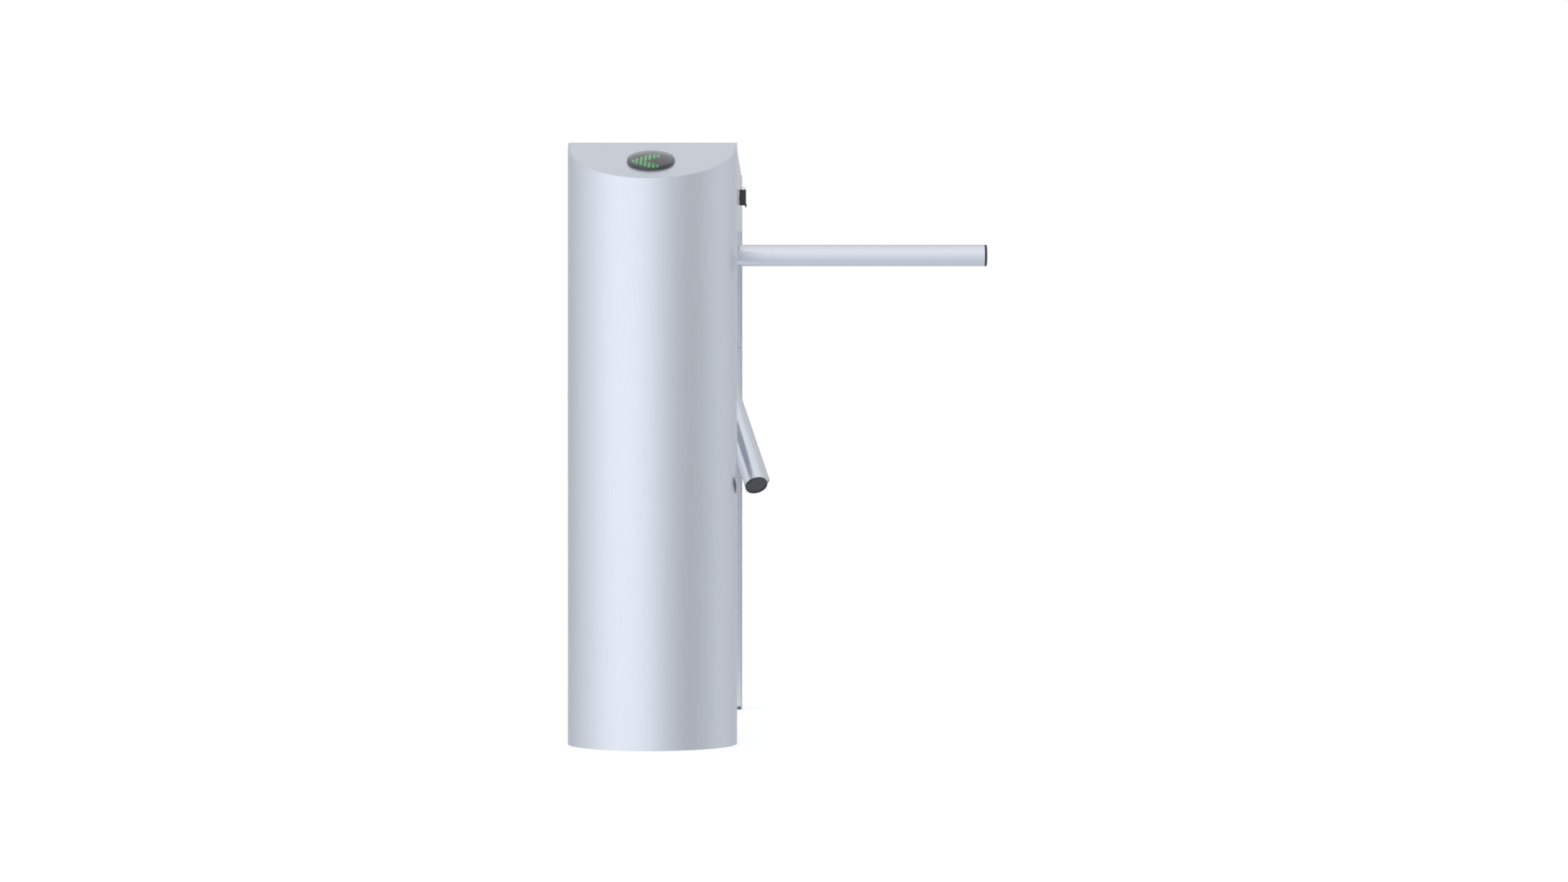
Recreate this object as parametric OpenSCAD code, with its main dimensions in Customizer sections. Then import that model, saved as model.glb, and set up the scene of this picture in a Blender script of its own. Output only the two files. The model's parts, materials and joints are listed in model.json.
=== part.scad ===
// Bridge-type tripod turnstile. Two round-ended pedestals carry a bridge, and a three-armed rotor
// turns on a shaft that leaves the bridge's slanted underside at 45 degrees.
// Millimetres. The origin is on the floor, midway between the pedestals, on the cabinet's centre
// plane. +X points into the passage, Y runs from the front pedestal to the rear one, +Z is up.

/* [Pedestals] */
// Radius of the rounded ends, which is half the width of the cabinet
body_r = 140; // [125:1:170]
// Straight side between the flat inner face and the rounded end
side_straight = 16; // [12:1:60]
// Distance between the flat inner faces of the two pedestals
span = 700; // [640:10:900]
// Height of the ridge, the highest edge of each slanted top
ridge_h = 997; // [990:1:1060]
// Drop of the slanted top from the ridge to the nose of the pedestal
top_drop = 71; // [50:1:90]
// Thickness of the cabinet's stainless sheet
sheet = 2; // [1.5:0.1:2.5]
// Open seam between the edge of the slanted top plate and the shell round it
top_seam = 0.3; // [0.3:0.1:1.5]

/* [Base] */
// Thickness of the steel base plates
base_t = 8; // [6:0.5:14]
// Radius of the holes for the floor anchors
anchor_r = 7; // [5:0.5:9]
// Distance between the anchors across the cabinet
anchor_dx = 150; // [120:1:170]
// Distance between the anchors of one pedestal along the cabinet
anchor_dy = 60; // [50:1:70]
// Distance from the flat inner face to the middle of one pedestal's anchors
anchor_y = 75; // [65:1:80]
// Radius of the hole for the supply cables in each base plate
cable_hole_r = 25; // [18:0.5:28]

/* [Bridge] */
// Step from the ridge down to the top of the bridge lid
lid_step = 11; // [9:0.5:20]
// Height of the lid's skirt
lid_skirt = 22; // [18:0.5:30]
// Height of the passage-side panel between the lid and the slanted underside
side_panel_h = 71; // [66:0.5:80]
// Height of the bridge from its flat bottom to the top of the lid
bridge_h = 286; // [276:1:300]
// Gap between the edge of the lid's skirt and the side panels
lid_seam = 0.8; // [0.5:0.1:1.5]

/* [Tripod] */
// Height of the centre line of the arm that bars the passage
arm_h = 828.5; // [820:0.5:835]
// Distance from the point where the three arm lines meet to the end of an arm
arm_reach = 537.5; // [440:0.5:600]
// Outer radius of the arm tubes
arm_r = 19; // [16:0.5:20]
// Wall of the arm tubes
arm_wall = 2; // [1.5:0.1:3]
// Distance from the point where the arm lines meet out to the slanted face of the bridge
apex_back = 26.5; // [24:0.5:32]
// Radius of the hub's base disc
hub_r = 81; // [79:0.5:86]
// Thickness of the hub's base disc
hub_base_t = 20; // [19:0.5:24]
// Radius of the hub's flat nose
hub_nose_r = 40; // [36:0.5:42]
// Length of the visible rim of the arms' end caps
cap_rim = 4.5; // [3:0.5:8]

/* [Mechanism] */
// Radius of the main shaft in its bearings and in the hub
shaft_r = 15; // [13:0.5:16]
// Outer radius of the ball bearings
bearing_r = 31; // [29:0.5:33]
// Width of the ball bearings
bearing_w = 16; // [14:0.5:18]
// Length of the bearing housing
housing_l = 80; // [70:1:90]
// Module of the gear teeth
gear_m = 2.5; // [2.3:0.05:2.6]
// Number of teeth on the main gear
gear_teeth = 48; // [42:6:48]
// Number of teeth on the motor pinion and on the damper pinion
pinion_teeth = 16; // [16:2:18]
// Width of the gears
gear_w = 10; // [8:0.5:12]

/* [Indicators] */
// Radius of the hole for each indicator in the slanted top plates
lens_hole_r = 39.5; // [34:0.5:44]
// Horizontal distance from the ridge to the middle of the indicator
lens_y = 83; // [78:1:94]
// Height of the indicator's dome above the slanted top plate
dome_h = 13; // [9:0.5:16]

/* [Lock] */
// Distance of the lock from the front pedestal's flat inner face
lock_y = 150; // [100:1:200]
// Distance of the lock below the top of the side panel
lock_drop = 47.5; // [44:0.5:50]
// Width of the key's bow
key_w = 27; // [20:0.5:30]

/* [Hidden] */

// Clearances
cut = 1;                 // overrun of every cut past the face that it leaves
fit = 0.05;              // radial clearance of parts that turn in, or fit closely on, one another
seat = 0.3;              // gap between a part and the part that it rests against
panel_gap = 0.4;         // gap at the edges of the panels
bolt_gap = 0.3;          // radial clearance of screws in plain holes
free_gap = 2.5;          // gap between turning parts and the plates beside them
$fn = 96;

// Pedestal
inner_y = span / 2;
round_y = inner_y + side_straight;
nose_y = round_y + body_r;
slope = top_drop / (nose_y - inner_y);
top_angle = atan(slope);
plate_v = sheet / cos(top_angle);
rim_drop = plate_v + panel_gap;
top_edge = sheet + top_seam;
skirt_in = sheet + panel_gap;
top_skirt_h = 14;
wide = 4 * nose_y;

// Base and frame
post_w = 36;
post_d = 20;
post_wall = 2.5;
post_out = body_r - sheet - seat;
post_in = post_out - post_w;
post_back = inner_y + sheet + post_d;
rail_t = 6;
rail_h = 40;
frame_top = ridge_h - rim_drop - top_skirt_h - slope * (sheet + post_d) - seat;
base_inset = sheet + seat;
base_back = sheet + panel_gap;
anchor_mid = inner_y + anchor_y;
grommet_wall = 4;
grommet_lip = 3;

// Bridge
lid_top = ridge_h - lid_step;
skirt_z = lid_top - lid_skirt;
panel_top = skirt_z - lid_seam;
panel_z = skirt_z - side_panel_h;
bridge_z = lid_top - bridge_h;
face_x = body_r - (panel_z - bridge_z);
lid_play = 1;
joggle = sheet + lid_play;
end_t = 5;
upstand_x = body_r - joggle;
wall_drop = 24;
wall_z = bridge_z - wall_drop;
bolt_low = 60;
bolt_high = 46;
rail_zs = [base_t + rail_h, wall_z, bridge_z + bolt_low, lid_top - bolt_high];
panel_floor_gap = 6;

// Bridge bolts, M10
bolt_r = 5;
bolt_head_r = 9.2;
bolt_head_h = 6.4;
nut_h = 8;
bolt_tail = 2;
bolt_x = 85;
bolt_x_low = -30;
bolt_xz = [[-bolt_x, rail_zs[3]], [bolt_x, rail_zs[3]], [-bolt_x, rail_zs[2]],
    [bolt_x_low, rail_zs[2]]];
end_window_r = 32;
end_window_x = -45;
end_window_up = 160;

// Panel screws, M5 button heads
screw_r = 2.5;
screw_head_r = 4.7;
screw_head_h = 2.6;
screw_l = 7;
screw_edge = 14;
screw_off = 9;
screw_zs = [rail_zs[0], wall_z - screw_off];
wall_screw_zs = [wall_z + screw_off];
screw_x = post_in - screw_edge;

// Hinges of the lid
hinge_r = 3;
hinge_pin_r = 1.5;
hinge_x = -body_r - hinge_r - seat;
hinge_z = skirt_z;
hinge_l = 80;
hinge_share = 0.31;
hinge_y = span * hinge_share;
knuckles = 3;
knuckle_l = hinge_l / knuckles;
leaf_t = 2;
leaf_h = 26;
leaf_gap = 5;
leaf_short = 2;

// Tripod axis
face_c = panel_z - body_r;
apex_x = arm_h - face_c - apex_back * sqrt(2);
axis_tilt = 135;
arm_angles = [180, 60, 300];
face_in = apex_back - sheet;

// Hub and arms
hub_z = apex_back + free_gap;
hub_cone_z = hub_z + hub_base_t;
hub_nose_z = hub_cone_z + hub_r - hub_nose_r;
socket_floor = 4;
socket_s = (hub_z + socket_floor) * sqrt(2) + arm_r;
arm_start = socket_s + seat;
arm_end = arm_reach - cap_rim;
arm_bolt_r = 4;
arm_head_r = 6.5;
arm_head_h = 8;
arm_seat_s = hub_z * sqrt(2) + arm_head_r + arm_head_h;
arm_web = socket_s - arm_seat_s;
insert_l = 30;
arm_bolt_short = 4;
recess_r = 24;
recess_depth = 24;
recess_z = hub_nose_z - recess_depth;
hub_bolt_r = 6;
hub_bolt_head_r = 9.5;
hub_bolt_head_h = 7.5;
hub_bolt_l = 36;
hub_bolt_short = 2;
washer_r = 20;
washer_t = 4;
cap_flange = 4;
cap_recess = 1;
cap_lip = 3.4;
cap_depth = 18;
cap_flange_t = 2.5;
cap_plug_l = 9;
cap_wall = 2.5;
cap_edge_share = 0.3;
shaft_key_t = 7;
shaft_key_b = 8;
hub_key_start = 4;
hub_key_l = 27;
gear_key_l = 9;

// Stack of the mechanism along the tripod axis, from the slanted face inwards
plate_t = 6;
flange_t = 10;
z_front = face_in - plate_t;
z_housing = z_front - housing_l;
plate_gap = 4;
z_gear_plate = z_housing - plate_gap - plate_t;
z_gear = z_gear_plate - plate_gap - gear_w;
disc_t = 1.5;
disc_gap = 9;
z_disc = z_gear - disc_gap - disc_t;
armature_t = 5;
armature_gap = 6;
z_armature = z_disc - armature_gap - armature_t;
air_gap = 0.4;
z_coil_top = z_armature - air_gap;
coil_l = 20;
z_coil = z_coil_top - coil_l;
bracket_t = 5;
z_bracket = z_coil - bracket_t;
shoulder = 3;
rear_r = shaft_r - shoulder;
ring_t = 1.2;
boss_wall = 4;
z_shaft_end = z_armature - ring_t - seat;
shaft_short = 2;
shaft_front = recess_z - shaft_short;

// Housing, plates and pillars
housing_wall = 9;
housing_r = bearing_r + housing_wall;
housing_flange_w = 22;
housing_flange_r = housing_r + housing_flange_w;
housing_lip = 5;
housing_bore = bearing_r - housing_lip;
flange_bolt_r = 4;
flange_bolt_head_r = 6.5;
flange_bolt_head_h = 5;
flange_bolt_pcr = housing_r + housing_flange_w / 2;
plate_x = 92;
plate_y = 116;
pillar_r = 7;
pillar_x = 72;
pillar_y = 70;
stud_r = 4;
pillar_nut_r = 7.5;
pillar_nut_h = 6.5;
face_screw_r = 5;
face_screw_head_r = 8.9;
face_screw_head_h = 4;
face_screw_x = 76;
face_screw_y = 102;
seal_r = housing_bore;
face_hole_gap = 7;
face_hole_r = shaft_r + face_hole_gap;

// Gears
gear_pitch = gear_m * gear_teeth / 2;
pinion_pitch = gear_m * pinion_teeth / 2;
gear_dist = gear_pitch + pinion_pitch;
backlash = 0.12;
pressure = 20;
pinion_shaft_r = 5;
pinion_boss_r = 9;

// Motor, damper and brake
motor_r = 29;
motor_l = 68;
damper_r = 25;
damper_l = 42;
armature_r = 38;
coil_r = 40;
coil_gap = 6;
coil_bore = rear_r + coil_gap;
brake_pillar_x = 45;
brake_pillar_y = 60;
brake_pillar_r = 5;
bracket_x = 52;
bracket_y = 68;
disc_r = 50;
disc_slots = 12;
disc_edge = 3;
slot_l = 5;
slot_w = 6;
sensor_w = 14;
sensor_in = 43;
sensor_out = 60;
sensor_arm = 4;
sensor_gap = 2;
nose_share = 0.8;
nose_t = 3;
spigot_share = 0.67;
pinion_boss_l = 2;
shaft_stub = 3;

// Lock, cam and key, on an axis along X
lock_pos_y = -inner_y + lock_y;
lock_z = skirt_z - lock_drop;
lock_r = 9.5;
lock_l = 28.5;
lock_flange_r = 12;
lock_flange_t = 1.5;
lock_nut_r = 14;
lock_nut_t = 4;
plug_r = 7;
cam_t = 3;
cam_l = 34;
cam_w = 14;
cam_r = 8;
cam_x = body_r - lock_l - cam_t;
catch_t = 3;
catch_gap = 5;
catch_x = cam_x - catch_gap - catch_t;
catch_over = 2;
catch_y0 = 16;
catch_w = 22;
key_bow_t = 2.4;
key_len = 11.4;
key_corner_r = 1.2;
key_gap = lock_flange_t + seat;
key_blade_h = 6;
key_blade_t = 1.6;
key_foot_x = 9.5;
key_foot_w = 2.8;
key_foot_drop = 3.1;
ring_r = 3.7;
ring_wire_r = 0.55;
ring_x = 6.4;
ring_leg = 4;

// Indicators
lens_fit = 0.3;
lens_r = lens_hole_r - lens_fit;
lens_wall = 2;
lens_edge = 3;
lens_shoulder = 3;
lens_flange = 5;
lamp_depth = 20;
lamp_wall = 4;
post_share = 0.7;
board_play = 1;
lamp_r = lens_hole_r + lens_flange;
board_t = 1.6;
bar_h = 1;
bar_w = 4;
// Each bar of the arrow: distance along the arrow, inner half height, outer half height
bar_shares = [[-0.74, 0, 0.11], [-0.59, 0, 0.29], [-0.41, 0, 0.44], [-0.23, 0.09, 0.63],
    [-0.06, 0.20, 0.77], [0.12, 0.38, 0.78], [0.29, 0.53, 0.74]];

// Electronics on trays inside the pedestals
tray_gap = 4;
tray_reach = 58;
tray_half = post_in + tray_gap;
tray_y = post_back + tray_reach;
tray_z0 = 300;
tray_h = 320;
standoff_r = 3;
standoff_l = 10;
board_w = 150;
board_h = 200;
board_z = 395;
pcb_t = 1.6;
transformer = [46, 32, 40];
relay = [14, 15, 28];
relay_pitch = 16;
relay_count = 4;
chip = [22, 3, 22];
driver_chip = [12, 3, 18];
strip_d = 12;
strip_h = 14;
strip_w_share = 0.8;
// Heights on the board, from its lower edge
transformer_share = 0.68;
relay_share = 0.74;
chip_share = 0.42;
strip_shares = [0.08, 0.22];
psu_w = 110;
psu_d = 42;
psu_h = 160;
psu_z = 420;
psu_slots = 12;
psu_slot = 3;
psu_slot_share = 0.7;

steel = "#c9cdd6";
plate_grey = "#9aa0a6";
dark = "#3a3d41";
zinc = "#b4b8bd";
green = "#5fae73";

// Half of the model is the mirror image of the other half
module front() {
    mirror([0, 1, 0]) children();
}

// Moves children to the tripod frame: +Z leaves the slanted face along the axis, and the origin is
// where the three arm lines meet
module on_axis() {
    translate([apex_x, 0, arm_h]) rotate([0, axis_tilt, 0]) children();
}

// Moves children to the frame of one arm: +Z runs along the arm
module on_arm(a) {
    on_axis() rotate([0, 0, a]) rotate([0, 45, 0]) children();
}

module ring(ro, ri, h) {
    difference() {
        cylinder(r = ro, h = h);
        translate([0, 0, -cut]) cylinder(r = ri, h = h + 2 * cut);
    }
}

module hex_bolt(r, head_r, head_h, l) {
    translate([0, 0, -l]) cylinder(r = r, h = l);
    cylinder(r = head_r, h = head_h, $fn = 6);
}

module socket_screw(r, head_r, head_h, l) {
    difference() {
        union() {
            translate([0, 0, -l]) cylinder(r = r, h = l);
            cylinder(r = head_r, h = head_h);
        }
        translate([0, 0, head_h / 2]) cylinder(r = head_r / 2, h = head_h, $fn = 6);
    }
}

// Pedestal pieces are drawn for the rear end, on +Y

// Plan of a pedestal, with its edge moved in by e and its flat side moved in by back
module plan(e, back) {
    intersection() {
        union() {
            translate([0, round_y]) circle(r = body_r - e);
            translate([-(body_r - e), inner_y - body_r])
                square([2 * (body_r - e), round_y - inner_y + body_r]);
        }
        translate([-body_r - cut, inner_y + back]) square([2 * (body_r + cut), wide]);
    }
}

// Everything above the slanted plane that lies v below the top, measured upright
module above_slope(v) {
    translate([-wide / 2, inner_y, ridge_h - v]) rotate([-top_angle, 0, 0])
        translate([0, -wide / 2, 0]) cube([wide, wide, wide / 2]);
}

module shell() {
    color(steel) difference() {
        linear_extrude(ridge_h + cut) difference() {
            plan(0, 0);
            plan(sheet, -cut);
        }
        above_slope(0);
    }
}

module slope_band(e, back, v0, v1) {
    difference() {
        linear_extrude(ridge_h + cut) plan(e, back);
        above_slope(v0);
        below_slope(v1);
    }
}

// Everything below the slanted plane that lies v below the top
module below_slope(v) {
    translate([-wide / 2, inner_y, ridge_h - v]) rotate([-top_angle, 0, 0])
        translate([0, -wide / 2, -wide]) cube([wide, wide, wide]);
}

module on_lens() {
    translate([0, inner_y + lens_y, ridge_h - slope * lens_y]) rotate([-top_angle, 0, 0]) children();
}

lug_x = body_r / 2;
lug_w = 24;

module top_plate() {
    color(steel) difference() {
        union() {
            slope_band(top_edge, 0, 0, plate_v);
            difference() {
                slope_band(top_edge, skirt_in, plate_v / 2, rim_drop + top_skirt_h);
                linear_extrude(2 * ridge_h) plan(top_edge + sheet, skirt_in + sheet);
            }
            difference() {
                for (x = [-lug_x, lug_x])
                    translate([x - lug_w / 2, inner_y + skirt_in, frame_top])
                        cube([lug_w, rail_t, ridge_h - frame_top]);
                above_slope(plate_v / 2);
            }
        }
        on_lens() translate([0, 0, -wide / 2]) cylinder(r = lens_hole_r, h = wide);
    }
}

module service_panel() {
    half = body_r - sheet - panel_gap;
    color(steel) difference() {
        translate([-half, inner_y, panel_floor_gap])
            cube([2 * half, sheet, wall_z - panel_gap - panel_floor_gap]);
        screw_holes(screw_zs);
    }
}

module screw_holes(zs) {
    for (x = [-screw_x, screw_x], z = zs)
        translate([x, inner_y - cut, z]) rotate([-90, 0, 0])
            cylinder(r = screw_r + bolt_gap, h = sheet + rail_t + 2 * cut);
}

module bolt_holes() {
    for (p = bolt_xz)
        translate([p[0], inner_y - end_t - cut, p[1]]) rotate([-90, 0, 0])
            cylinder(r = bolt_r + bolt_gap, h = end_t + sheet + rail_t + 2 * cut);
}

module end_wall() {
    half = body_r - sheet - panel_gap;
    color(steel) difference() {
        translate([-half, inner_y, wall_z])
            cube([2 * half, sheet, ridge_h - rim_drop - slope * sheet - wall_z]);
        screw_holes(wall_screw_zs);
        bolt_holes();
        translate([end_window_x, inner_y - cut, bridge_z + end_window_up]) rotate([-90, 0, 0])
            cylinder(r = end_window_r, h = sheet + 2 * cut);
    }
}

module frame() {
    color(plate_grey) difference() {
        union() {
            for (s = [0, 1]) mirror([s, 0, 0])
                translate([post_in, inner_y + sheet, base_t])
                    cube([post_w, post_d, frame_top - base_t]);
            for (z = rail_zs)
                translate([-post_in - cut, inner_y + sheet, z - rail_h / 2])
                    cube([2 * (post_in + cut), rail_t, rail_h]);
            translate([-post_in - cut, inner_y + sheet, frame_top - rail_h / 2])
                cube([2 * (post_in + cut), rail_t, rail_h / 2]);
        }
        for (s = [0, 1]) mirror([s, 0, 0])
            translate([post_in + post_wall, inner_y + sheet + post_wall, base_t - cut])
                cube([post_w - 2 * post_wall, post_d - 2 * post_wall, ridge_h]);
        screw_holes(concat(screw_zs, wall_screw_zs));
        bolt_holes();
    }
}

module base_plate() {
    color(plate_grey) difference() {
        linear_extrude(base_t) plan(base_inset, base_back);
        for (x = [-anchor_dx / 2, anchor_dx / 2], y = [-anchor_dy / 2, anchor_dy / 2])
            translate([x, anchor_mid + y, -cut]) cylinder(r = anchor_r, h = base_t + 2 * cut);
        translate([0, anchor_mid, -cut]) cylinder(r = cable_hole_r, h = base_t + 2 * cut);
    }
}

module grommet() {
    translate([0, anchor_mid, 0]) difference() {
        union() {
            cylinder(r = cable_hole_r - fit, h = base_t + grommet_lip);
            translate([0, 0, base_t]) cylinder(r = cable_hole_r + grommet_lip, h = grommet_lip);
        }
        translate([0, 0, -cut])
            cylinder(r = cable_hole_r - grommet_wall, h = base_t + grommet_lip + 2 * cut);
    }
}

module bridge_bolt_set() {
    for (p = bolt_xz) translate([p[0], 0, p[1]]) {
        translate([0, inner_y - end_t, 0]) rotate([90, 0, 0])
            hex_bolt(bolt_r, bolt_head_r, bolt_head_h, end_t + sheet + rail_t + nut_h + bolt_tail);
        translate([0, inner_y + sheet + rail_t, 0]) rotate([-90, 0, 0]) difference() {
            cylinder(r = bolt_head_r, h = nut_h, $fn = 6);
            translate([0, 0, -cut]) cylinder(r = bolt_r + fit, h = nut_h + 2 * cut);
        }
    }
}

module panel_screw_set() {
    for (x = [-screw_x, screw_x], z = concat(screw_zs, wall_screw_zs))
        translate([x, inner_y, z]) rotate([90, 0, 0])
            socket_screw(screw_r, screw_head_r, screw_head_h, screw_l);
}

// Bridge

// Cross-section of the bridge's inside, moved out by e towards the outer faces
module bridge_section(e) {
    r = body_r - sheet + e;
    d = (sheet - e) * (sqrt(2) - 1);
    polygon([[-r, bridge_z + sheet - e], [face_x - d, bridge_z + sheet - e], [r, panel_z + d],
        [r, panel_top], [-r, panel_top]]);
}

module upright_section(l) {
    translate([0, l / 2, 0]) rotate([90, 0, 0]) linear_extrude(l) children();
}

module bridge_shell() {
    color(steel) difference() {
        upright_section(span) {
            difference() {
                bridge_section(sheet);
                bridge_section(0);
            }
            for (s = [0, 1]) mirror([s, 0]) {
                translate([upstand_x - sheet, panel_top - sheet])
                    square([joggle + sheet, sheet]);
                translate([upstand_x - sheet, panel_top - sheet])
                    square([sheet, lid_top - sheet - seat - panel_top + sheet]);
            }
        }
        on_axis() {
            translate([0, 0, face_in - cut]) cylinder(r = face_hole_r, h = sheet + 2 * cut);
            face_screw_places() translate([0, 0, face_in - cut])
                cylinder(r = face_screw_r + bolt_gap, h = sheet + 2 * cut);
        }
        translate([body_r - sheet - cut, lock_pos_y, lock_z]) rotate([0, 90, 0])
            cylinder(r = lock_r + bolt_gap, h = sheet + 2 * cut);
    }
}

module bridge_end() {
    color(plate_grey) difference() {
        translate([0, inner_y - end_t / 2, 0]) upright_section(end_t) difference() {
            bridge_section(0);
            translate([end_window_x, bridge_z + end_window_up]) circle(r = end_window_r);
            translate([-body_r, panel_top - sheet - seat]) square([2 * body_r, lid_skirt]);
        }
        bolt_holes();
    }
}

// Lid and its hinges

lid_half = inner_y - panel_gap;

module lid() {
    color(steel) {
        translate([-body_r, -lid_half, lid_top - sheet]) cube([2 * body_r, 2 * lid_half, sheet]);
        for (s = [0, 1]) mirror([s, 0, 0])
            translate([body_r - sheet, -lid_half, skirt_z]) cube([sheet, 2 * lid_half, lid_skirt]);
    }
}

module lid_catch() {
    tab_z = lock_z - cam_w / 2 - 2 * seat - catch_t;
    color(zinc) translate([0, lock_pos_y + catch_y0, 0]) {
        translate([catch_x, 0, tab_z]) cube([catch_t, catch_w, lid_top - sheet - tab_z]);
        translate([catch_x, 0, tab_z]) cube([cam_x + cam_t + catch_over - catch_x, catch_w, catch_t]);
        translate([catch_x - catch_w / 2, 0, lid_top - sheet - catch_t])
            cube([catch_w / 2 + catch_t, catch_w, catch_t]);
    }
}

module knuckle(y0, l) {
    translate([hinge_x, y0, hinge_z]) rotate([-90, 0, 0]) ring(hinge_r, hinge_pin_r + fit, l);
}

// A leaf's plate against the cabinet's side, with its bridge to the knuckle cleared of the pin
module leaf(y0, l, z0, h) {
    difference() {
        translate([-body_r - leaf_t, y0, z0]) cube([leaf_t, l, h]);
        translate([hinge_x, y0 - cut, hinge_z]) rotate([-90, 0, 0])
            cylinder(r = hinge_pin_r + fit, h = l + 2 * cut);
    }
}

module lid_leaf() {
    l = knuckle_l - 2 * seat;
    knuckle(-l / 2, l);
    leaf(-l / 2, l, hinge_z, leaf_gap + cut);
    leaf(-hinge_l / 2, hinge_l, hinge_z + leaf_gap, lid_skirt - leaf_gap - leaf_short);
}

module body_leaf() {
    for (s = [0, 1]) mirror([0, s, 0]) {
        knuckle(knuckle_l / 2, knuckle_l);
        leaf(knuckle_l / 2, knuckle_l, hinge_z - leaf_gap - cut, leaf_gap);
    }
    leaf(-hinge_l / 2, hinge_l, hinge_z - leaf_gap - leaf_h, leaf_h);
}

module at_hinges() {
    for (y = [-hinge_y, hinge_y]) translate([0, y, 0]) children();
}

// Lock: the barrel stays in the side panel, and the plug, cam and key turn

module on_lock() {
    translate([body_r, lock_pos_y, lock_z]) rotate([0, 90, 0]) children();
}

module lock_barrel() {
    color(zinc) on_lock() {
        difference() {
            union() {
                translate([0, 0, -lock_l]) cylinder(r = lock_r, h = lock_l);
                cylinder(r = lock_flange_r, h = lock_flange_t);
            }
            translate([0, 0, -lock_l - cut])
                cylinder(r = plug_r + fit, h = lock_l + lock_flange_t + 2 * cut);
        }
        translate([0, 0, -sheet - lock_nut_t]) difference() {
            cylinder(r = lock_nut_r, h = lock_nut_t, $fn = 6);
            translate([0, 0, -cut]) cylinder(r = lock_r + fit, h = lock_nut_t + 2 * cut);
        }
    }
}

module lock_plug() {
    color("#8d9196") on_lock() difference() {
        translate([0, 0, -lock_l]) cylinder(r = plug_r, h = lock_l + lock_flange_t);
        translate([-key_blade_h / 2 - fit, -key_blade_t / 2 - fit, -lock_l / 2])
            cube([key_blade_h + 2 * fit, key_blade_t + 2 * fit, lock_l]);
        translate([0, 0, -lock_l - cut]) cylinder(r = screw_r, h = lock_l / 3 + cut);
    }
}

// The cam lies across the inner end of the plug and points up when the lock is open
module lock_cam() {
    color(zinc) on_lock() translate([0, 0, -lock_l - cam_t]) {
        difference() {
            union() {
                cylinder(r = cam_r, h = cam_t);
                translate([-cam_l, -cam_w / 2, 0]) cube([cam_l, cam_w, cam_t]);
            }
            translate([0, 0, -cut]) cylinder(r = screw_r + bolt_gap, h = cam_t + 2 * cut);
        }
        mirror([0, 0, 1]) socket_screw(screw_r - fit, screw_head_r, screw_head_h,
            cam_t + lock_l / 4);
    }
}

// The key's flat bow has a small foot at its lower outer corner and holes for the ring in its top edge
module key() {
    x0 = body_r + key_gap;
    color(dark) difference() {
        translate([x0, lock_pos_y - key_bow_t / 2, lock_z - key_w / 2]) {
            rounded_slab(key_len, key_bow_t, key_w, key_corner_r);
            translate([key_foot_x, 0, -key_foot_drop])
                rounded_slab(key_foot_w, key_bow_t, 2 * key_foot_drop, key_corner_r);
        }
        at_ring() for (x = [-ring_r, ring_r])
            translate([x, 0, -ring_leg - cut]) cylinder(r = ring_wire_r + fit, h = ring_leg + 2 * cut);
    }
    color(zinc) translate([body_r - lock_l / 2 + cut, lock_pos_y - key_blade_t / 2,
        lock_z - key_blade_h / 2])
        cube([lock_l / 2 + key_gap, key_blade_t, key_blade_h]);
}

// A slab with rounded corners in the XZ plane
module rounded_slab(x, y, z, r) {
    translate([0, y, 0]) rotate([90, 0, 0]) linear_extrude(y) union() {
        translate([r, 0]) square([x - 2 * r, z]);
        translate([0, r]) square([x, z - 2 * r]);
        for (cx = [r, x - r], cz = [r, z - r]) translate([cx, cz]) circle(r = r, $fn = 32);
    }
}

module at_ring() {
    translate([body_r + key_gap + ring_x, lock_pos_y, lock_z + key_w / 2]) children();
}

// The half ring of stiff wire that stands in the bow's top edge
module key_ring() {
    color(zinc) at_ring() {
        difference() {
            rotate([90, 0, 0]) rotate_extrude($fn = 64)
                translate([ring_r, 0]) circle(r = ring_wire_r, $fn = 16);
            translate([-2 * ring_r, -2 * ring_r, -4 * ring_r]) cube(4 * ring_r);
        }
        for (x = [-ring_r, ring_r])
            translate([x, 0, -ring_leg]) cylinder(r = ring_wire_r, h = ring_leg, $fn = 16);
    }
}

// Mechanism, in the tripod frame

module face_screw_places() {
    for (x = [-face_screw_x, face_screw_x], y = [-face_screw_y, face_screw_y])
        translate([x, y, 0]) children();
}

module pillar_places() {
    for (x = [-pillar_x, pillar_x], y = [-pillar_y, pillar_y]) translate([x, y, 0]) children();
}

module brake_pillar_places() {
    for (x = [-brake_pillar_x, brake_pillar_x], y = [-brake_pillar_y, brake_pillar_y])
        translate([x, y, 0]) children();
}

module flange_bolt_places() {
    for (a = [0:60:300]) rotate([0, 0, a]) translate([flange_bolt_pcr, 0, 0]) children();
}

module mechanism_plate() {
    color(plate_grey) on_axis() difference() {
        translate([-plate_x, -plate_y, z_front]) cube([2 * plate_x, 2 * plate_y, plate_t]);
        translate([0, 0, z_front - cut]) {
            cylinder(r = seal_r, h = plate_t + 2 * cut);
            face_screw_places() cylinder(r = face_screw_r + fit, h = plate_t + 2 * cut);
            pillar_places() cylinder(r = stud_r + fit, h = plate_t + 2 * cut);
            flange_bolt_places() cylinder(r = flange_bolt_r + fit, h = plate_t + 2 * cut);
        }
    }
}

module housing_screws() {
    color(zinc) on_axis() flange_bolt_places() translate([0, 0, z_front - flange_t])
        mirror([0, 0, 1]) socket_screw(flange_bolt_r, flange_bolt_head_r, flange_bolt_head_h,
            flange_t + plate_t - seat);
}

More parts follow.
